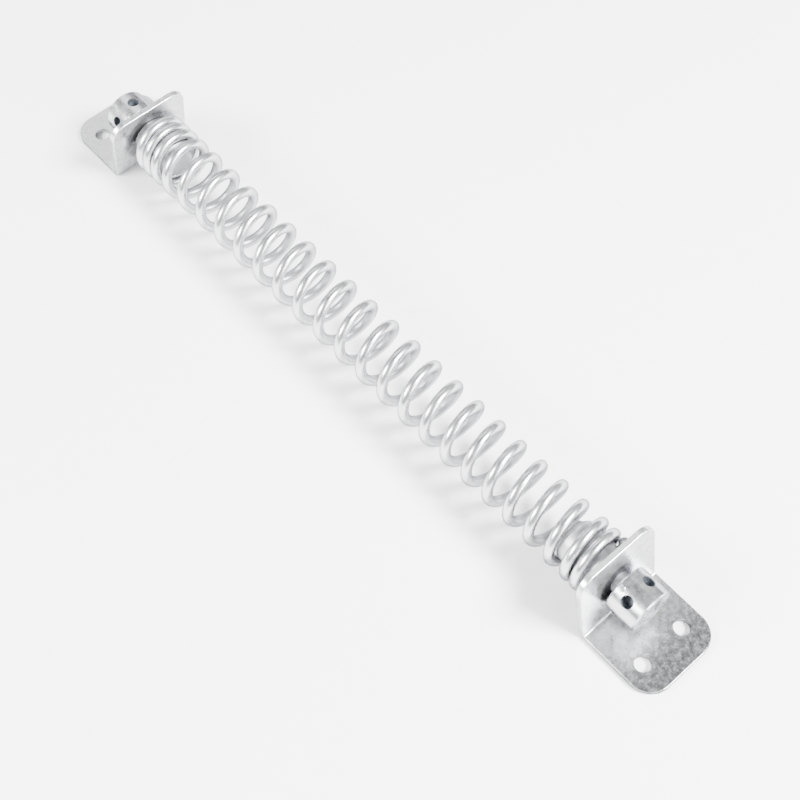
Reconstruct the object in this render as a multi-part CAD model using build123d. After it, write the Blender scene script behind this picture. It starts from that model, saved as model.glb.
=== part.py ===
from build123d import *
import math
import os

# Gate spring closer. The X axis runs along the spring, from the upper bracket (-X)
# to the lower bracket (+X). Z points up from the faces that screw to gate and post,
# which lie at Z = 0. The origin is under the middle of the spring. Millimetres.

# Driving sizes of the spring
COIL_DIAMETER = 25.0
WIRE_DIAMETER = 4.0
FLANGE_SPAN = 265.0
SPRING_TURNS = 25.5
UPPER_CLOSED_TURNS = 2.2
UPPER_OPENING_TURNS = 2.8
LOWER_OPENING_TURNS = 1.3
LOWER_CLOSED_TURNS = 1.3
UPPER_OPEN_SHARE = 0.96
LOWER_OPEN_SHARE = 0.68
CLOSED_GAP = 0.5
SPRING_START_ANGLE = 211.0
PIECES_PER_TURN = 4

# Driving sizes of the brackets, one bent strip of sheet each
SHEET = 2.3
BRACKET_WIDTH = 34.8
PLATE_REACH = 32.5
FLANGE_LENGTH = 32.5
FLANGE_LEAN = 11.5
AXIS_HEIGHT = 16.7
BEND_INSIDE_RADIUS = 0.8
PLATE_CORNER_RADIUS = 9.0
FLANGE_CORNER_RADIUS = 6.5
EDGE_BREAK = 0.35
SCREW_HOLE_DIAMETER = 6.0
SCREW_HOLE_SPACING = 19.0
SCREW_HOLE_SETBACK = 11.0

# Driving sizes of the winding collar
DRUM_DIAMETER = 17.7
DRUM_LENGTH = 12.4
DRUM_CHAMFER = 0.5
TOMMY_HOLE_DIAMETER = 4.6
TOMMY_HOLE_DEPTH = 5.0
TOMMY_HOLE_SETBACK = 6.5
TOMMY_HOLES = 5
LOWER_TOMMY_ANGLE = 60.0
UPPER_TOMMY_ANGLE = 83.0
SOCKET_DEPTH = 3.4

# Driving sizes of the spindle and of the plug that carries the spring
SPINDLE_DIAMETER = 8.0
RIVET_HEAD_DIAMETER = 12.5
RIVET_HEAD_HEIGHT = 2.4
PLUG_LENGTH = 17.5
PLUG_CHAMFER = 1.2

# Driving sizes of the cross pin through collar and spindle
PIN_DIAMETER = 2.4
PIN_SETBACK = 1.8
PIN_PROUD = 0.3
PIN_END_RADIUS = 0.5
LOWER_PIN_ANGLE = 117.0
UPPER_PIN_ANGLE = 116.0

# Clearances
END_PLAY = 0.3
COIL_ON_PLUG = 0.3
SPINDLE_IN_FLANGE = 0.1
FIT = 0.03
CUT_OVERRUN = 1.0


def flange_x(height):
    """Where the flange's spring-side face stands at this height; it leans over the spring."""
    return FLANGE_SPAN / 2 - height * math.tan(math.radians(FLANGE_LEAN))


# Sizes that follow
WIRE_RADIUS = WIRE_DIAMETER / 2
COIL_RADIUS = COIL_DIAMETER / 2 - WIRE_RADIUS
CLOSED_PITCH = WIRE_DIAMETER + CLOSED_GAP
SPRING_LENGTH = 2 * (flange_x(AXIS_HEIGHT + COIL_DIAMETER / 2) - END_PLAY) - WIRE_DIAMETER
PLUG_DIAMETER = 2 * (COIL_RADIUS - WIRE_RADIUS - COIL_ON_PLUG)
PLUG_X = flange_x(AXIS_HEIGHT + PLUG_DIAMETER / 2) - END_PLAY
PLUG_END_X = PLUG_X - PLUG_LENGTH
HEEL_X = FLANGE_SPAN / 2
FLANGE_THROUGH = SHEET / math.cos(math.radians(FLANGE_LEAN))
DRUM_X = flange_x(AXIS_HEIGHT - DRUM_DIAMETER / 2) + FLANGE_THROUGH + END_PLAY
COLLAR_END_X = DRUM_X + DRUM_LENGTH
SOCKET_END_X = DRUM_X + SOCKET_DEPTH
SCREW_HOLE_X = HEEL_X + PLATE_REACH - SCREW_HOLE_SETBACK
TOMMY_HOLE_X = COLLAR_END_X - TOMMY_HOLE_SETBACK
PIN_X = DRUM_X + PIN_SETBACK


def opening_table():
    """Rows of turn and share of the full opening; the share runs straight between rows."""
    upper_open = UPPER_CLOSED_TURNS + UPPER_OPENING_TURNS
    lower_closed = SPRING_TURNS - LOWER_CLOSED_TURNS
    lower_open = lower_closed - LOWER_OPENING_TURNS
    return [
        (0, 0),
        (UPPER_CLOSED_TURNS, 0),
        (upper_open, UPPER_OPEN_SHARE),
        (SPRING_TURNS / 2, 1),
        (lower_open, LOWER_OPEN_SHARE),
        (lower_closed, 0),
        (SPRING_TURNS, 0),
    ]


def open_share(turns):
    """Share of the full opening between neighbouring turns, this many turns from the start."""
    share = 0
    rows = opening_table()
    for (start, at_start), (end, at_end) in zip(rows, rows[1:]):
        if start <= turns <= end:
            share = at_start + (at_end - at_start) * (turns - start) / (end - start)
    return share


def opened(turns):
    """The shares summed up from the first turn: how many fully open turns they come to."""
    total = 0
    rows = opening_table()
    for (start, at_start), (end, _) in zip(rows, rows[1:]):
        until = min(turns, end)
        if until > start:
            total += (at_start + open_share(until)) / 2 * (until - start)
    return total


def full_opening():
    """Rise that a fully open turn has over a closed one, so that the ends meet the flanges."""
    return (SPRING_LENGTH - SPRING_TURNS * CLOSED_PITCH) / opened(SPRING_TURNS)


def wire_point(turns):
    """Centre of the wire after so many turns: a right-handed helix whose pitch varies."""
    x = turns * CLOSED_PITCH + full_opening() * opened(turns)
    angle = math.radians(SPRING_START_ANGLE) + 2 * math.pi * turns
    y = COIL_RADIUS * math.cos(angle)
    z = AXIS_HEIGHT + COIL_RADIUS * math.sin(angle)
    return Vector(x - SPRING_LENGTH / 2, y, z)


def wire_direction(turns):
    """Unit direction of the wire there."""
    rise = CLOSED_PITCH + full_opening() * open_share(turns)
    angle = math.radians(SPRING_START_ANGLE) + 2 * math.pi * turns
    round_rate = 2 * math.pi * COIL_RADIUS
    return Vector(rise, -round_rate * math.sin(angle), round_rate * math.cos(angle)).normalized()


def biarc(start, start_direction, end, end_direction):
    """Two arcs with one tangent where they meet, from one point and direction to another."""
    across = end - start
    both = start_direction + end_direction
    a = both.dot(both) - 4
    b = -2 * across.dot(both)
    c = across.dot(across)
    reach = (-b - math.sqrt(b * b - 4 * a * c)) / (2 * a)
    before = start + start_direction * reach
    after = end - end_direction * reach
    middle = (before + after) / 2
    first = TangentArc(start, middle, tangent=start_direction)
    second = TangentArc(middle, end, tangent=after - before)
    return [first, second]


def spring_path():
    """The wire's centre line as biarcs of a quarter turn."""
    pieces = round(SPRING_TURNS * PIECES_PER_TURN)
    stations = [SPRING_TURNS * i / pieces for i in range(pieces + 1)]
    arcs = []
    for here, there in zip(stations, stations[1:]):
        arcs += biarc(wire_point(here), wire_direction(here), wire_point(there), wire_direction(there))
    return Wire(arcs)


def spring():
    """One round wire wound into a spring with closed turns at both ends."""
    start = Plane(origin=wire_point(0), z_dir=wire_direction(0))
    return sweep(start * Circle(WIRE_RADIUS), path=spring_path())


def least_self_gap():
    """Least clear distance between neighbouring turns, measured on points of the wire."""
    steps = round(SPRING_TURNS * 72)
    points = [wire_point(SPRING_TURNS * i / steps) for i in range(steps + 1)]
    turn = 72
    gap = FLANGE_SPAN
    for i in range(len(points) - turn // 2):
        for j in range(i + turn // 2, min(i + turn * 3 // 2, len(points))):
            gap = min(gap, (points[j] - points[i]).length - WIRE_DIAMETER)
    return gap


def on_axis(x):
    """A plane on the spindle axis, facing +X."""
    return Plane(origin=(x, 0, AXIS_HEIGHT), x_dir=(0, 1, 0), z_dir=(1, 0, 0))


def rod(x_from, x_to, diameter):
    """A round bar along the spindle axis."""
    return extrude(on_axis(x_from) * Circle(diameter / 2), x_to - x_from)


def radial(x, angle, reach):
    """A plane that faces out along a radius, at some reach from the spindle axis."""
    turn = math.radians(angle)
    out = Vector(0, math.cos(turn), math.sin(turn))
    return Plane(origin=Vector(x, 0, AXIS_HEIGHT) + out * reach, x_dir=(1, 0, 0), z_dir=out)


def bracket():
    """Bent strip: a plate with two screw holes and a flange that carries the spindle."""
    lean = math.radians(FLANGE_LEAN)
    up = Vector(-math.sin(lean), math.cos(lean))
    across = Vector(math.cos(lean), math.sin(lean))
    heel = Vector(HEEL_X, 0)
    crease = heel + Vector((1 - math.sin(lean)) / math.cos(lean), 1) * SHEET
    flange_top = heel + up * FLANGE_LENGTH
    plate_end = heel + Vector(PLATE_REACH, 0)
    outline = [heel, flange_top, flange_top + across * SHEET, crease, plate_end + Vector(0, SHEET), plate_end]
    profile = make_face(Polyline(outline, close=True))
    heel_corner = profile.vertices().sort_by_distance(heel)[0]
    profile = fillet(heel_corner, BEND_INSIDE_RADIUS + SHEET)
    crease_corner = profile.vertices().sort_by_distance(crease)[0]
    profile = fillet(crease_corner, BEND_INSIDE_RADIUS)
    strip = extrude(Plane.XZ * profile, BRACKET_WIDTH / 2, both=True)
    plate_corners = strip.edges().filter_by(Axis.Z).group_by(Axis.X)[-1]
    strip = fillet(plate_corners, PLATE_CORNER_RADIUS)
    through_flange = Axis((0, 0, 0), (across.X, 0, across.Y))
    flange_corners = strip.edges().filter_by(through_flange).group_by(Axis.Z)[-1]
    strip = fillet(flange_corners, FLANGE_CORNER_RADIUS)
    strip = fillet(strip.edges(), EDGE_BREAK)
    hole = Cylinder(SCREW_HOLE_DIAMETER / 2, SHEET + 2 * CUT_OVERRUN)
    for side in (-1, 1):
        strip -= Pos(SCREW_HOLE_X, side * SCREW_HOLE_SPACING / 2, SHEET / 2) * hole
    bearing = SPINDLE_DIAMETER + 2 * SPINDLE_IN_FLANGE
    strip -= rod(flange_x(AXIS_HEIGHT + bearing), HEEL_X + SHEET, bearing)
    return strip


def pin_hole(angle):
    """The cross hole through collar and spindle that takes the pin."""
    return extrude(radial(PIN_X, angle, 0) * Circle(PIN_DIAMETER / 2 + FIT), DRUM_DIAMETER, both=True)


def collar(tommy_angle, pin_angle):
    """Turned drum with tommy-bar holes round it and a socket for the spindle."""
    drum = rod(DRUM_X, COLLAR_END_X, DRUM_DIAMETER)
    body = chamfer(drum.edges().filter_by(GeomType.CIRCLE), DRUM_CHAMFER)
    body -= rod(DRUM_X - CUT_OVERRUN, SOCKET_END_X, SPINDLE_DIAMETER + 2 * FIT)
    drill = Circle(TOMMY_HOLE_DIAMETER / 2)
    for i in range(TOMMY_HOLES):
        angle = tommy_angle + i * 360 / TOMMY_HOLES
        floor = radial(TOMMY_HOLE_X, angle, DRUM_DIAMETER / 2 - TOMMY_HOLE_DEPTH)
        body -= extrude(floor * drill, TOMMY_HOLE_DEPTH + CUT_OVERRUN)
    return body - pin_hole(pin_angle)


def spindle(pin_angle):
    """Pin from the collar's socket through flange and plug, riveted over inside the spring."""
    shank = rod(PLUG_END_X, SOCKET_END_X - FIT, SPINDLE_DIAMETER)
    head = rod(PLUG_END_X - RIVET_HEAD_HEIGHT, PLUG_END_X, RIVET_HEAD_DIAMETER)
    crown = head.edges().filter_by(GeomType.CIRCLE).sort_by(Axis.X)[0]
    head = fillet(crown, RIVET_HEAD_HEIGHT - FIT)
    return shank + head - pin_hole(pin_angle)


def plug():
    """Turned plug inside the closed turns, on the spindle."""
    body = rod(PLUG_END_X, PLUG_X, PLUG_DIAMETER)
    inner_rim = body.edges().filter_by(GeomType.CIRCLE).sort_by(Axis.X)[0]
    body = chamfer(inner_rim, PLUG_CHAMFER)
    return body - rod(PLUG_END_X - CUT_OVERRUN, PLUG_X + CUT_OVERRUN, SPINDLE_DIAMETER + 2 * FIT)


def cross_pin(angle):
    """Solid pin right through the collar, with rounded ends that stand a little proud."""
    length = DRUM_DIAMETER + 2 * PIN_PROUD
    pin = extrude(radial(PIN_X, angle, -length / 2) * Circle(PIN_DIAMETER / 2), length)
    return fillet(pin.edges().filter_by(GeomType.CIRCLE), PIN_END_RADIUS)


def at_upper_end(piece):
    """The same piece at the other end, turned half round about the vertical."""
    return Rot(0, 0, 180) * piece


def turned_angle(angle):
    """An angle about the spindle as it reads on a piece before its half turn."""
    return 180 - angle


lower_tommy, lower_pin = LOWER_TOMMY_ANGLE, LOWER_PIN_ANGLE
upper_tommy, upper_pin = turned_angle(UPPER_TOMMY_ANGLE), turned_angle(UPPER_PIN_ANGLE)
nodes = {
    "spring": spring(),
    "lower_bracket": bracket(),
    "lower_collar": collar(lower_tommy, lower_pin),
    "lower_spindle": spindle(lower_pin),
    "lower_plug": plug(),
    "lower_cross_pin": cross_pin(lower_pin),
    "upper_bracket": at_upper_end(bracket()),
    "upper_collar": at_upper_end(collar(upper_tommy, upper_pin)),
    "upper_spindle": at_upper_end(spindle(upper_pin)),
    "upper_plug": at_upper_end(plug()),
    "upper_cross_pin": at_upper_end(cross_pin(upper_pin)),
}

os.makedirs("parts", exist_ok=True)
for name, piece in nodes.items():
    export_step(piece, f"parts/{name}.step")

wire_length = spring_path().length
print("widest pitch", round(CLOSED_PITCH + full_opening(), 2), "wire length", round(wire_length, 1))
print("least gap of the spring to itself", round(least_self_gap(), 3))
swept = nodes["spring"].volume / (math.pi * WIRE_RADIUS ** 2 * wire_length)
print("spring volume over section times length", round(swept, 4))
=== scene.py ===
# %% [markdown]
# # A gate spring closer in zinc-plated steel
# This closer is a long torsion spring held between two bent brackets, one for the
# gate and one for the post. The measured model is loaded first, as a frame that
# stays as it is. Every step below dresses one piece of it: the spring gets a new
# surface worked out with numpy, the others keep their shape and get a finish.

# %% Load the frame
import math

import bpy
import numpy as np
from mathutils import Matrix, Vector


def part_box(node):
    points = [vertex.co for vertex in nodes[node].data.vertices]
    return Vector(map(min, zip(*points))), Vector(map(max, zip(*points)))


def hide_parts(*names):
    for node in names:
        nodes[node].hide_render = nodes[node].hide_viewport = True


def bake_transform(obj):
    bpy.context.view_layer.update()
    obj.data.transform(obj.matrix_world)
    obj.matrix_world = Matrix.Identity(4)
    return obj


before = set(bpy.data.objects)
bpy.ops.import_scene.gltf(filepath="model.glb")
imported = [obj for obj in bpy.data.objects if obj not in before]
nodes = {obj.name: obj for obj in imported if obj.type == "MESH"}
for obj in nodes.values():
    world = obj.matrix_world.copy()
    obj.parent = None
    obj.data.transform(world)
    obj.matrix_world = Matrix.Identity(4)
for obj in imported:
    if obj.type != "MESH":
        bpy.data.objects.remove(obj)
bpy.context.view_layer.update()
print("pieces in the frame:", len(nodes))

# %% [markdown]
# ## The room for the spring
# The coil stands between two flanges that lean over it, with a little play. Its
# length could be typed in as one more number, but a number that follows from others
# is better worked out. So the coil's radius and height are read from the measured
# boxes, and its length follows from where the flanges stand at the coil's top.

# %% Sizes of the spring
MM = 0.001
WIRE = 4.0 * MM
HALF_SPAN = 132.5 * MM
FLANGE_LEAN = math.radians(11.5)
END_PLAY = 0.3 * MM

collar_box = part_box("lower_collar")
coil_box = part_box("spring")
axis_height = (collar_box[0].z + collar_box[1].z) / 2
coil_radius = (coil_box[1].y - coil_box[0].y) / 2 - WIRE / 2
coil_top = axis_height + coil_radius + WIRE / 2
flange_over_coil = HALF_SPAN - coil_top * math.tan(FLANGE_LEAN)
spring_length = 2 * (flange_over_coil - END_PLAY) - WIRE
print(f"coil radius {coil_radius / MM:.2f} mm, axis {axis_height / MM:.2f} mm up")
print(f"length between the wire's two ends {spring_length / MM:.1f} mm")

# %% [markdown]
# ## The line of the wire
# The spring is one round wire, wound right-handed. Its turns lie closed at both
# ends, where they grip their plugs, and stand open in between. A curve with a screw
# modifier could make it, but a screw has one pitch only. So the line is a formula:
# the angle grows evenly with the turns, and the rise is a closed pitch plus an
# opening that a short list gives at a few turns.

# %% The line of the wire
TURNS = 25.5
START_ANGLE = math.radians(211)
CLOSED_PITCH = 4.5 * MM
OPENING_ROWS = np.array([  # each row: a turn, and the share of the opening there
    (0, 0), (2.2, 0), (5.0, 0.96), (TURNS / 2, 1),
    (TURNS - 2.6, 0.68), (TURNS - 1.3, 0), (TURNS, 0),
])
SLICES_PER_TURN = 100
STATIONS = np.linspace(0, TURNS, int(TURNS * SLICES_PER_TURN) + 1)


def opened(turns):
    """Area under the list's line of turn and opening: slices of a hundredth of a turn
    are summed up, and the sum is read off where it is wanted."""
    share = np.interp(STATIONS, OPENING_ROWS[:, 0], OPENING_ROWS[:, 1])
    slices = (share[1:] + share[:-1]) / 2 * np.diff(STATIONS)
    return np.interp(turns, STATIONS, np.concatenate([[0], np.cumsum(slices)]))


def spring_centre(turns):
    """Centre of the wire: a circle of the coil's radius, carried along the axis by one
    closed pitch a turn, plus the opening as far as the length between the flanges needs."""
    extra = (spring_length - CLOSED_PITCH * TURNS) / opened(TURNS)
    x = CLOSED_PITCH * turns + extra * opened(turns) - spring_length / 2
    angle = START_ANGLE + 2 * math.pi * turns
    y = coil_radius * np.cos(angle)
    z = axis_height + coil_radius * np.sin(angle)
    return np.stack([x, y, z], axis=-1)


line = spring_centre(STATIONS)
wire_length = np.linalg.norm(np.diff(line, axis=0), axis=1).sum()
print(f"wire along its centre {wire_length:.3f} m")

# %% [markdown]
# ## A tube on that line
# A wire is a circle carried along a line. A curve object with a round bevel does
# this too, but it decides by itself how the circle turns on the way. Here every
# circle stands square to the line, and its first point looks away from the
# spindle's axis, so the finish can know which side of the wire is inside the coil.
# The grid of points closes round the circle, and each end is one flat face.

# %% Tube from rings
def tube_grid(centres, outward, radii, sides):
    """Rings round a line: centre + radius * (cos * outward + sin * side), where side is
    the line's direction crossed with outward."""
    along = np.gradient(centres, axis=0)
    along /= np.linalg.norm(along, axis=1, keepdims=True)
    outward = outward - along * np.sum(outward * along, axis=1, keepdims=True)
    outward /= np.linalg.norm(outward, axis=1, keepdims=True)
    side = np.cross(along, outward)
    angle = np.linspace(0, 2 * math.pi, sides, endpoint=False)
    ring = np.cos(angle)[None, :, None] * outward[:, None, :]
    ring = ring + np.sin(angle)[None, :, None] * side[:, None, :]
    return centres[:, None, :] + radii[:, None, None] * ring


def tube_piece(name, points):
    """Piece from a grid, rows along the wire and columns round it. Quads join each
    point to the next row and column, and the two end rings are faces of their own."""
    rows, cols = points.shape[:2]
    here = np.arange(rows * cols).reshape(rows, cols)
    ahead = np.roll(here, -1, axis=1)
    quads = np.stack([here[:-1], ahead[:-1], ahead[1:], here[1:]], axis=-1)
    faces = quads.reshape(-1, 4).tolist()
    faces += [here[0, ::-1].tolist(), here[-1].tolist()]
    mesh = bpy.data.meshes.new(name)
    mesh.from_pydata(points.reshape(-1, 3), [], faces)
    mesh.update()
    mesh.shade_smooth()
    piece = bpy.data.objects.new(name, mesh)
    bpy.context.scene.collection.objects.link(piece)
    print(name, "has", len(mesh.polygons), "faces")
    return piece


# %% [markdown]
# ## The spring
# The cut ends of the wire have a small rounded edge, because a shear leaves a burr
# that is tumbled off before plating. A bevel would round the flat ends as well, but
# it needs to find its edges. It is simpler to let the last rings shrink along a
# quarter circle, so a few more stations are set close to each end.

# %% The spring's surface
STEPS_PER_TURN = 80
WIRE_SIDES = 28
END_EDGE = 0.35 * MM
EDGE_STATIONS = np.array([0, 0.3, 0.7])

turn_length = 2 * math.pi * coil_radius
edge_turns = END_EDGE / turn_length * EDGE_STATIONS
turns = np.linspace(0, TURNS, int(TURNS * STEPS_PER_TURN) + 1)
turns = np.concatenate([edge_turns, turns[1:-1], TURNS - edge_turns[::-1]])
from_end = np.minimum(turns, TURNS - turns) * turn_length
inset = np.clip(1 - from_end / END_EDGE, 0, 1)
wire_radii = WIRE / 2 - END_EDGE * (1 - np.sqrt(1 - inset ** 2))
centres = spring_centre(turns)
away = centres * [0, 1, 1] - [0, 0, axis_height]
spring = tube_piece("spring_wire", tube_grid(centres, away, wire_radii, WIRE_SIDES))

# %% [markdown]
# ## A map on the wire
# Drawing leaves fine lines along a wire. A pattern in the room would cut across
# the turns, so the wire carries its own map: one direction runs along it, the other
# round it. A second value on each point says how far it looks toward the axis,
# because the side of the wire inside the coil gets painted shade and a rougher gloss.

# %% Map of the wire
MAP_PER_METRE = 10


def write_wire_map(piece, along, sides):
    """Map of a tube: U is the length along the wire in tenths of a metre, V the share
    of a turn round it. The value toward the axis is half of one less the cosine of the
    angle round the wire."""
    mesh = piece.data
    layer = mesh.uv_layers.new(name="wire")
    corners = np.zeros(len(mesh.loops), dtype=np.int32)
    mesh.loops.foreach_get("vertex_index", corners)
    uv = np.stack([along[corners // sides], corners % sides / sides], axis=1)
    layer.data.foreach_set("uv", uv.astype(np.float32).ravel())
    inside = mesh.attributes.new("toward_axis", "FLOAT", "POINT")
    angle = 2 * math.pi * (np.arange(len(mesh.vertices)) % sides) / sides
    inside.data.foreach_set("value", (0.5 - 0.5 * np.cos(angle)).astype(np.float32))
    print(piece.name, "is mapped over", round(float(along.max()), 1), "tenths of a metre")


write_wire_map(spring, turns * turn_length * MAP_PER_METRE, WIRE_SIDES)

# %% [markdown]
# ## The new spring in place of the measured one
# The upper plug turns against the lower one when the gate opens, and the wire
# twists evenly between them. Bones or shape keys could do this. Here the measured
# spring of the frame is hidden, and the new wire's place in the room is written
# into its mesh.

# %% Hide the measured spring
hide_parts("spring")
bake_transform(spring)
print("the spring twists over", round(spring_length / MM), "mm")

# %% [markdown]
# ## Finishes
# Every piece is steel with a bright zinc plating. The plating is a thin metal skin,
# so the shader is metallic. Painted image maps would work, but they blur up close
# and need unwrapping. Noise nodes stay sharp at any size, so each finish is a small
# set of nodes on the place of the point in the piece. A few helpers make them short:
# a term is either a socket, which is linked, or a plain value, which is set.

# %% Node helpers
ZINC = (0.66, 0.665, 0.68, 1)
ZINC_DULL = (0.38, 0.385, 0.40, 1)
WHITE = (1, 1, 1, 1)
EDGE_TINT = (0.2, 0.2, 0.22, 1)
ZERO_TO_ONE = (0.0, 1.0)
ONE_TO_ZERO = (1.0, 0.0)


def new_finish(name):
    """A material with a metallic shader that darkens a little at grazing angles."""
    material = bpy.data.materials.new(name)
    material.use_nodes = True
    tree = material.node_tree
    shader = tree.nodes["Principled BSDF"]
    shader.inputs["Metallic"].default_value = 1.0
    shader.inputs["Specular Tint"].default_value = EDGE_TINT
    return material, tree, shader


def feed(tree, socket, term):
    """Links a term that is a socket, and sets one that is a number or colour."""
    if isinstance(term, bpy.types.NodeSocket):
        tree.links.new(term, socket)
    else:
        socket.default_value = term


def node(tree, kind, **settings):
    """One node; settings that name a socket feed it, the others set the node."""
    made = tree.nodes.new(kind)
    for key, value in settings.items():
        if key in made.inputs:
            feed(tree, made.inputs[key], value)
        else:
            setattr(made, key, value)
    return made


def reckon(tree, operation, *terms):
    """The result of a sum, product or other operation on one to three terms."""
    made = node(tree, "ShaderNodeMath", operation=operation)
    for socket, term in zip(made.inputs, terms):
        feed(tree, socket, term)
    return made.outputs[0]


def spread(tree, value, source, target):
    """A straight line from one range of values to another, held at its two ends."""
    made = node(tree, "ShaderNodeMapRange", Value=value)
    names = ("From Min", "From Max", "To Min", "To Max")
    for name, limit in zip(names, source + target):
        made.inputs[name].default_value = limit
    return made.outputs["Result"]


print("zinc reflects", ZINC[:3], "and dull zinc", ZINC_DULL[:3])

# %% [markdown]
# ## Noise, colour and relief
# Plating is never even: it clouds, and the metal under it is a little rough. Where
# another part stands close, the sheet gets painted shade. Node groups could hold
# these few patterns and be shared between files, but a group hides what is in it.
# Short functions keep each finish to a few lines that can be read from top to bottom.

# %% Noise, colour and relief
def noise(tree, vector, scale, detail=4.0, rough=0.6):
    """A fractal noise: octaves of one smooth noise, each finer and weaker."""
    settings = {"Vector": vector, "Scale": scale, "Detail": detail, "Roughness": rough}
    return node(tree, "ShaderNodeTexNoise", **settings).outputs["Fac"]


def tint(tree, share, dark, light):
    """A colour between two: dark at a share of 0, light at a share of 1."""
    made = node(tree, "ShaderNodeMix", data_type="RGBA")
    feed(tree, made.inputs["Factor"], share)
    feed(tree, made.inputs["A"], dark)
    feed(tree, made.inputs["B"], light)
    return made.outputs["Result"]


def shaded(tree, colour, shade):
    """A colour times another, channel by channel."""
    made = node(tree, "ShaderNodeMix", data_type="RGBA", blend_type="MULTIPLY")
    feed(tree, made.inputs["Factor"], 1.0)
    feed(tree, made.inputs["A"], colour)
    feed(tree, made.inputs["B"], shade)
    return made.outputs["Result"]


def relief(tree, height, strength, distance, under=None):
    """A bump from a height, on top of another bump if there is one."""
    made = node(tree, "ShaderNodeBump", Strength=strength, Distance=distance, Height=height)
    if under is not None:
        feed(tree, made.inputs["Normal"], under)
    return made.outputs["Normal"]


print("helpers for noise, colour and relief are ready")

# %% [markdown]
# ## Places in a piece
# Rings of painted shade, bends and drilled holes are at fixed places of the closer.
# A painted mask could mark them, but all of them are a distance: along the closer, or
# from the axis of its spindles. Every piece keeps its place in its mesh, so these
# distances are worked out from the point's own coordinates and turn with the piece.

# %% Places in a piece
def piece_place(tree):
    """The point's place in the piece, whole and as its three parts."""
    place = node(tree, "ShaderNodeTexCoord").outputs["Object"]
    parts = node(tree, "ShaderNodeSeparateXYZ", Vector=place).outputs
    return place, parts["X"], parts["Y"], parts["Z"]


def axis_distance(tree, y, z):
    """Distance from the spindles' axis: the length of the sideways vector (y, z)."""
    up = reckon(tree, "SUBTRACT", z, axis_height)
    sideways = node(tree, "ShaderNodeCombineXYZ", Y=y, Z=up).outputs[0]
    made = node(tree, "ShaderNodeVectorMath", operation="LENGTH")
    feed(tree, made.inputs[0], sideways)
    return made.outputs["Value"]


print("the finishes measure rings from an axis", round(axis_height / MM, 2), "mm up")

# %% [markdown]
# ## Drawn wire
# Spring wire is pulled through a die and plated after it is wound, so it is the
# brightest finish of the closer: fine lines along it, and a soft cloudiness. One
# could scratch the shape, but lines this fine are only seen in the gloss. So a noise
# stretched along the wire's own map lifts the surface a hair, and a second noise
# changes the colour and the gloss a little.

# %% Drawn wire finish
WIRE_STRETCH = (1.2, 60, 1)
WIRE_CLOUDS = 260.0
CLOUD_RANGE = (0.3, 0.7)
CLOUDS_DULLED = (0.88, 1.0)
WIRE_GLOSS = (0.24, 0.32)
INSIDE = (0.5, 0.95)
# painted shade on the side of the wire toward the axis, inside the coil
INSIDE_PAINTED_SHADE = (1.0, 0.2)
INSIDE_ROUGHER = (0.0, 0.14)
HAIR = 0.1 * MM
LINES_LIFT = 0.06
CLOUDS_LIFT = 0.03


def drawn_wire():
    """Lines: noise on the wire's map, squeezed round the wire and stretched along it.
    Colour: the clouds' share times the painted shade on the side toward the axis.
    Roughness: the clouds' gloss plus what the side toward the axis adds."""
    material, tree, shader = new_finish("drawn_zinc_wire")
    wire_map = node(tree, "ShaderNodeUVMap", uv_map="wire").outputs["UV"]
    long_map = node(tree, "ShaderNodeMapping", Vector=wire_map, Scale=WIRE_STRETCH)
    lines = noise(tree, long_map.outputs["Vector"], scale=1.0, detail=3.0)
    clouds = noise(tree, piece_place(tree)[0], WIRE_CLOUDS, detail=5.0)
    inside = node(tree, "ShaderNodeAttribute", attribute_name="toward_axis").outputs["Fac"]
    # painted shade: the wire's colour darkens on its side toward the axis
    inside_shade = spread(tree, inside, INSIDE, INSIDE_PAINTED_SHADE)
    rougher = spread(tree, inside, INSIDE, INSIDE_ROUGHER)
    cloudy = spread(tree, clouds, CLOUD_RANGE, CLOUDS_DULLED)
    share = reckon(tree, "MULTIPLY", cloudy, inside_shade)
    gloss = spread(tree, clouds, CLOUD_RANGE, WIRE_GLOSS)
    feed(tree, shader.inputs["Base Color"], tint(tree, share, ZINC_DULL, ZINC))
    feed(tree, shader.inputs["Roughness"], reckon(tree, "ADD", gloss, rougher))
    drawn = relief(tree, lines, LINES_LIFT, HAIR)
    cloudy_skin = relief(tree, clouds, CLOUDS_LIFT, HAIR, under=drawn)
    feed(tree, shader.inputs["Normal"], cloudy_skin)
    print(material.name, "nodes", len(tree.nodes))
    return material


wire_finish = drawn_wire()

# %% [markdown]
# ## Rings of painted shade
# Coil and drum stand close to the flange between them, so the sheet gets painted
# shade in a ring round the spindle. A darker disc laid on the sheet could show it,
# but its edge would be sharp. A distance from the axis gives a soft edge, and the
# clumps of the plating break it up.

# %% Painted shade ring
FLANGE_SIDES = (133 * MM, 134.5 * MM)
# painted shade in a ring round the spindle on each flange: the coil's reach inside, the
# drum's outside
SHADE_REACH = (13.5 * MM, 9.0 * MM)
SHADE_EDGE = 2.0 * MM
SHADE_PATCHES = (0.35, 0.5)
SHADE_SHARE = (0.3, 1.0)


def painted_shade_ring(tree, x, y, z, clumps):
    """Share of painted shade: 1 within a reach of the axis and 0 past it, broken up by
    the clumps. The reach is the coil's on the flange's inner side and the drum's on its
    outer side; the two sides differ in distance plus height times the lean's slope."""
    sides = reckon(tree, "MULTIPLY_ADD", z, math.tan(FLANGE_LEAN), x)
    reach = spread(tree, sides, FLANGE_SIDES, SHADE_REACH)
    past = reckon(tree, "SUBTRACT", axis_distance(tree, y, z), reach)
    near = spread(tree, past, (-SHADE_EDGE, 0.0), ONE_TO_ZERO)
    return reckon(tree, "MULTIPLY", near, spread(tree, clumps, SHADE_PATCHES, SHADE_SHARE))


print("ring_shade", [round(reach / MM, 1) for reach in SHADE_REACH], "mm from the axis")
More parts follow.
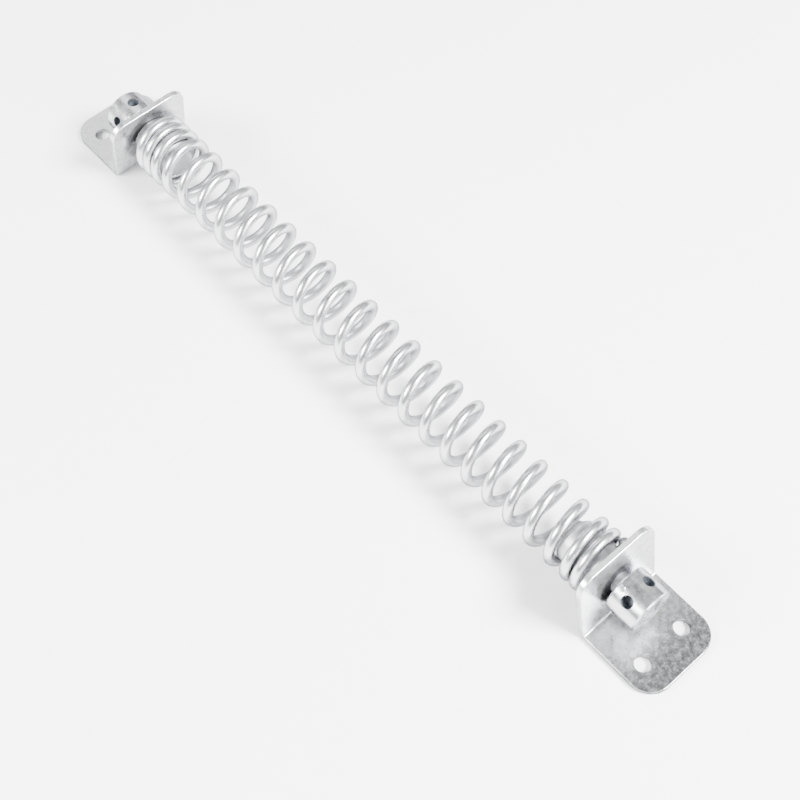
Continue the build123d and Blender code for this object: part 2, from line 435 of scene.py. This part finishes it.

# %% [markdown]
# ## Plated sheet
# The brackets are bent from sheet. Their plating is mottled, in clumps of a
# millimetre or two with a finer grain in them; the flanges get painted light and the
# lower plate's outer end a painted dark reflection. A photograph of such plating could
# be wrapped on, but it would repeat and blur. Two noises, a coarse one and a fine one,
# are added up here, and the distance along the closer says how much of the mottle shows.

# %% Plated sheet finish
SHEET_DARK = (0.14, 0.145, 0.143, 1)
# painted light: the flanges' zinc is lighter than the plates'
ZINC_PAINTED_LIGHT = (0.88, 0.885, 0.9, 1)
# colour of the painted shade ring round the spindle
RING_SHADE_COLOUR = (0.36, 0.36, 0.37, 1)
OXIDE_SHARE = 0.06
SHEET_CLUMPS = 480.0
SHEET_GRAIN = 1500.0
GRAIN_RANGE = (0.38, 0.62)
HALF_SHARE = (0.0, 0.5)
BEND_ZONE = (137 * MM, 141 * MM)
# painted dark reflection: toward the outer end of the lower plate the mottle darkens
DARK_REFLECTION_ZONE = (143 * MM, 159 * MM)
MOTTLE_DEPTH = (0.35, 0.75)
MOTTLE_FLOOR = (0.55, 0.0)
GLOSS_SHARES = (0.0, 0.8)
SHEET_GLOSS = (0.18, 0.3)
SHEET_LIFT = 0.06
CLUMP_HEIGHT = 4 * HAIR
GRAIN_HEIGHT = 2 * HAIR


def plated_sheet():
    """Share of bright plating: clumps plus grain, times a depth, plus a floor, where
    depth and floor change along the lower plate to paint a dark reflection at its outer
    end. It sets colour and gloss; the flanges get painted light, and the painted shade
    ring darkens the colour. A thin oxide takes a part of the metal's shine."""
    material, tree, shader = new_finish("plated_sheet_steel")
    place, x, y, z = piece_place(tree)
    from_middle = reckon(tree, "ABSOLUTE", x)
    clumps = noise(tree, place, SHEET_CLUMPS, detail=3.0)
    grain = noise(tree, place, SHEET_GRAIN, detail=5.0, rough=0.8)
    clump_half = spread(tree, clumps, GRAIN_RANGE, HALF_SHARE)
    grain_half = spread(tree, grain, GRAIN_RANGE, HALF_SHARE)
    mottle = reckon(tree, "ADD", clump_half, grain_half)
    # painted dark reflection along the outer end of the lower plate
    depth = spread(tree, x, DARK_REFLECTION_ZONE, MOTTLE_DEPTH)
    least = spread(tree, x, DARK_REFLECTION_ZONE, MOTTLE_FLOOR)
    share = reckon(tree, "MULTIPLY_ADD", mottle, depth, least)
    # painted light on the flanges, handing over to plain zinc past the bends
    on_plate = spread(tree, from_middle, BEND_ZONE, ZERO_TO_ONE)
    light = tint(tree, on_plate, ZINC_PAINTED_LIGHT, ZINC)
    plating = tint(tree, share, SHEET_DARK, light)
    # painted shade round the spindle, where coil and drum stand close to the flange
    ring_shade = tint(tree, painted_shade_ring(tree, from_middle, y, z, clumps), WHITE, RING_SHADE_COLOUR)
    feed(tree, shader.inputs["Base Color"], shaded(tree, plating, ring_shade))
    feed(tree, shader.inputs["Roughness"], spread(tree, share, GLOSS_SHARES, SHEET_GLOSS))
    shader.inputs["Metallic"].default_value = 1 - OXIDE_SHARE
    lumps = relief(tree, clumps, SHEET_LIFT, CLUMP_HEIGHT)
    grainy = relief(tree, grain, SHEET_LIFT, GRAIN_HEIGHT, under=lumps)
    feed(tree, shader.inputs["Normal"], grainy)
    print(material.name, "nodes", len(tree.nodes))
    return material


sheet_finish = plated_sheet()

# %% [markdown]
# ## Tommy-bar holes
# Five holes round each drum take the bar that winds the spring. They are drilled
# into the bar after it is turned, and their walls get painted shade. Each hole could
# have a material of its own, but the drum is one piece of the frame and keeps its
# mesh. A hole is found by its place instead: near the row of holes along the axis,
# and nearer the axis than the drum's skin.

# %% Where the tommy-bar holes are
TOMMY_SETBACK = 6.5 * MM
ROW_EDGE = (2.5 * MM, 2.9 * MM)
DRUM_SKIN = (8.3 * MM, 8.65 * MM)
tommy_x = collar_box[1].x - TOMMY_SETBACK
print(f"the row of holes is {tommy_x / MM:.2f} mm from the middle")


def hole_share(tree, x, radius):
    """1 inside the drilled holes: near the row's place along the axis, on either end of
    the closer, and deeper than the drum's skin."""
    from_middle = reckon(tree, "ABSOLUTE", x)
    off_row = reckon(tree, "ABSOLUTE", reckon(tree, "SUBTRACT", from_middle, tommy_x))
    in_row = spread(tree, off_row, ROW_EDGE, ONE_TO_ZERO)
    below = spread(tree, radius, DRUM_SKIN, ONE_TO_ZERO)
    return reckon(tree, "MULTIPLY", in_row, below)


# %% [markdown]
# ## Turned bar
# Drums, plugs and spindles are turned from round bar, so their marks are rings about
# the axis. Anisotropy on the shader would give such a gloss without rings, and it
# needs a tangent. A noise that reads only the place along the axis and the distance
# from it draws true rings on the side and on the end face alike.

# %% Turned bar finish
RING_FINENESS = 4200.0
RING_LIFT = 0.1
BAR_CLOUDS = 300.0
BAR_PATCHES = (0.32, 0.62)
BAR_SHARE = (0.3, 1.0)
GLOSS_WIDTH = 0.12
HOLE_BOTTOM_TO_MOUTH = (4.0 * MM, 8.0 * MM)
# painted shade in the tommy-bar holes: lighter at the bottom, darker at the mouth
HOLE_BOTTOM_SHADE = (0.3, 0.33, 0.37, 1)
HOLE_MOUTH_SHADE = (0.09, 0.1, 0.115, 1)
HOLE_METAL = (1.0, 0.1)


def turned_bar(name, roughness, tone=1.0):
    """Rings: noise on (place along the axis, distance from it). Colour: clouds between
    dull and bright zinc times the tone, times the holes' painted shade, which is lighter
    at a hole's bottom and darker at its mouth. Roughness is the lowest of its range."""
    material, tree, shader = new_finish(name)
    place, x, y, z = piece_place(tree)
    radius = axis_distance(tree, y, z)
    ring_place = node(tree, "ShaderNodeCombineXYZ", X=x, Y=radius).outputs[0]
    rings = noise(tree, ring_place, RING_FINENESS, detail=2.0)
    clouds = noise(tree, place, BAR_CLOUDS, detail=5.0)
    light = tuple(channel * tone for channel in ZINC[:3]) + (1,)
    dark = tuple(channel * tone for channel in ZINC_DULL[:3]) + (1,)
    plating = tint(tree, spread(tree, clouds, BAR_PATCHES, BAR_SHARE), dark, light)
    hole = hole_share(tree, x, radius)
    up = spread(tree, radius, HOLE_BOTTOM_TO_MOUTH, ZERO_TO_ONE)
    # painted shade in the holes, graded from the bottom to the mouth
    drilled = tint(tree, hole, WHITE, tint(tree, up, HOLE_BOTTOM_SHADE, HOLE_MOUTH_SHADE))
    gloss = (roughness, roughness + GLOSS_WIDTH)
    feed(tree, shader.inputs["Base Color"], shaded(tree, plating, drilled))
    feed(tree, shader.inputs["Metallic"], spread(tree, hole, ZERO_TO_ONE, HOLE_METAL))
    feed(tree, shader.inputs["Roughness"], spread(tree, clouds, CLOUD_RANGE, gloss))
    feed(tree, shader.inputs["Normal"], relief(tree, rings, RING_LIFT, HAIR))
    print(name, "nodes", len(tree.nodes))
    return material


collar_finish = turned_bar("turned_zinc_collar", roughness=0.22)
# tone 0.72 paints shade on the spindles and upper plug inside the closed turns
core_finish = turned_bar("turned_zinc_core", roughness=0.45, tone=0.72)
shown_plug_finish = turned_bar("turned_zinc_plug", roughness=0.42, tone=0.95)
pin_finish = turned_bar("plain_pin_steel", roughness=0.2, tone=1.1)

# %% [markdown]
# ## Which piece wears what
# The drums are the show side of the turned parts. Spindles and the upper plug sit
# inside the closed turns, so theirs is rougher, and darker as painted shade. The
# lower plug shows beside its flange and is nearly as bright as the wire. The cross
# pin is plain bright steel. A piece of the frame keeps its mesh: only the material
# in its slot changes, so its shape stays as it was measured.

# %% Give the finishes
def give(piece, material):
    """The piece shows this finish and no other."""
    piece.data.materials.clear()
    piece.data.materials.append(material)
    print(piece.name, "wears", material.name)


give(spring, wire_finish)
for end, plug_finish in (("lower", shown_plug_finish), ("upper", core_finish)):
    give(nodes[f"{end}_bracket"], sheet_finish)
    give(nodes[f"{end}_collar"], collar_finish)
    give(nodes[f"{end}_spindle"], core_finish)
    give(nodes[f"{end}_plug"], plug_finish)
    give(nodes[f"{end}_cross_pin"], pin_finish)

# %% [markdown]
# ## The floor
# The closer lies on a plain pale surface without an edge in sight. A curved
# backdrop is the studio's way, but its curve shows in a view from the side. One very
# large square is flat everywhere and takes the soft shadow.

# %% Pale floor
FLOOR_HALF = 12.0
FLOOR_DROP = 0.05 * MM
FLOOR_PALE = (0.97, 0.97, 0.97, 1)
FLOOR_MATT = 0.9


def pale_floor():
    """A square of four corners a hair below the mounting faces, so that no two faces
    lie in one plane."""
    corners = np.array([[-1, -1], [1, -1], [1, 1], [-1, 1]]) * FLOOR_HALF
    mesh = bpy.data.meshes.new("floor")
    points = np.column_stack([corners, np.full(4, -FLOOR_DROP)])
    mesh.from_pydata(points, [], [(0, 1, 2, 3)])
    made = bpy.data.objects.new("floor", mesh)
    bpy.context.scene.collection.objects.link(made)
    material = bpy.data.materials.new("pale_floor")
    material.use_nodes = True
    shader = material.node_tree.nodes["Principled BSDF"]
    shader.inputs["Base Color"].default_value = FLOOR_PALE
    shader.inputs["Roughness"].default_value = FLOOR_MATT
    made.data.materials.append(material)
    print("floor", 2 * FLOOR_HALF, "m square")


pale_floor()

# %% [markdown]
# ## Light panels
# Bare metal shows what is round it, so its look is made by the room. A lamp or a
# sun would leave hard bright spots. Four soft panels stand round the closer instead,
# the strongest high behind its lower end, so that the plate shines back at the
# camera.

# %% Panels
middle = Vector((0, 0, axis_height))
PANELS = {  # each panel: its place, width and height in metres, its power in watts
    "overhead_panel": ((0.8, 0.45, 1.0), 0.5, 0.4, 105),
    "far_panel": ((-0.85, 0.38, 1.0), 0.8, 0.6, 3.8),
    "left_panel": ((-0.35, -0.85, 0.7), 0.6, 0.4, 38),
    "right_panel": ((1.2, 0.1, 0.4), 0.5, 0.4, 14),
}


def facing(place, aim):
    """Matrix that puts a thing at a place, its minus Z toward the aim and its Y up."""
    direction = Vector(aim) - Vector(place)
    turned = direction.to_track_quat("-Z", "Y").to_matrix().to_4x4()
    return Matrix.Translation(place) @ turned


def panel(name, place, width, height, power):
    """A soft rectangular light that faces the middle of the spring."""
    light = bpy.data.lights.new(name, "AREA")
    light.shape = "RECTANGLE"
    light.size = width
    light.size_y = height
    light.energy = power
    made = bpy.data.objects.new(name, light)
    bpy.context.scene.collection.objects.link(made)
    made.matrix_world = facing(place, middle)
    distance = (Vector(place) - middle).length
    print(name, power, "W from", round(distance, 2), "m")


for name, settings in PANELS.items():
    panel(name, *settings)

# %% [markdown]
# ## The room
# What the panels leave out comes from the room. A photograph of a studio wrapped
# round the scene would reflect well, but it is a picture file. A band of light does
# as well here: the room is bright half way up and dimmer at the floor and overhead,
# which draws the thin dark edges along the wire.

# %% Room
ROOM_BRIGHT = (0.85, 0.85, 0.86, 1)
ROOM_DIM = (0.32, 0.32, 0.34, 1)
ROOM_STRENGTH = 1.2
BAND_START = (0.0, 0.45)
BAND_END = (0.8, 0.94)


def studio_room():
    """Light from all round by the height of its direction: the share of bright is one
    rise from the horizon times one fall toward the top."""
    room = bpy.data.worlds.new("studio")
    bpy.context.scene.world = room
    room.use_nodes = True
    tree = room.node_tree
    background = tree.nodes["Background"]
    background.inputs["Strength"].default_value = ROOM_STRENGTH
    direction = node(tree, "ShaderNodeTexCoord").outputs["Generated"]
    height = node(tree, "ShaderNodeSeparateXYZ", Vector=direction).outputs["Z"]
    rise = spread(tree, height, BAND_START, ZERO_TO_ONE)
    fall = spread(tree, height, BAND_END, ONE_TO_ZERO)
    band = reckon(tree, "MULTIPLY", rise, fall)
    feed(tree, background.inputs["Color"], tint(tree, band, ROOM_DIM, ROOM_BRIGHT))
    print("room strength", ROOM_STRENGTH)


studio_room()

# %% [markdown]
# ## The camera
# The closer is seen from above, from its lower end, and lies across the picture
# from corner to corner. An empty with a Track To constraint would aim a camera too.
# Here its matrix is worked out once, with a small roll about the line of sight,
# because a hand-held camera is never quite level.

# %% Camera
CAMERA_PLACE = (0.2123, -0.161, 0.4252)
CAMERA_AIM = (0.0317, -0.0077, 0.0167)
CAMERA_ROLL = math.radians(1.463)
CAMERA_LENS = 59.74
CAMERA_SENSOR = 36
NEAREST_SEEN = 0.01


def camera():
    """Camera at its place, aimed at a point and rolled about its line of sight."""
    data = bpy.data.cameras.new("camera")
    data.lens = CAMERA_LENS
    data.sensor_width = CAMERA_SENSOR
    data.clip_start = NEAREST_SEEN
    made = bpy.data.objects.new("camera", data)
    bpy.context.scene.collection.objects.link(made)
    roll = Matrix.Rotation(-CAMERA_ROLL, 4, "Z")
    made.matrix_world = facing(CAMERA_PLACE, CAMERA_AIM) @ roll
    bpy.context.scene.camera = made
    distance = (Vector(CAMERA_PLACE) - Vector(CAMERA_AIM)).length
    print("camera at", round(distance, 3), "m with a lens of", CAMERA_LENS, "mm")


camera()
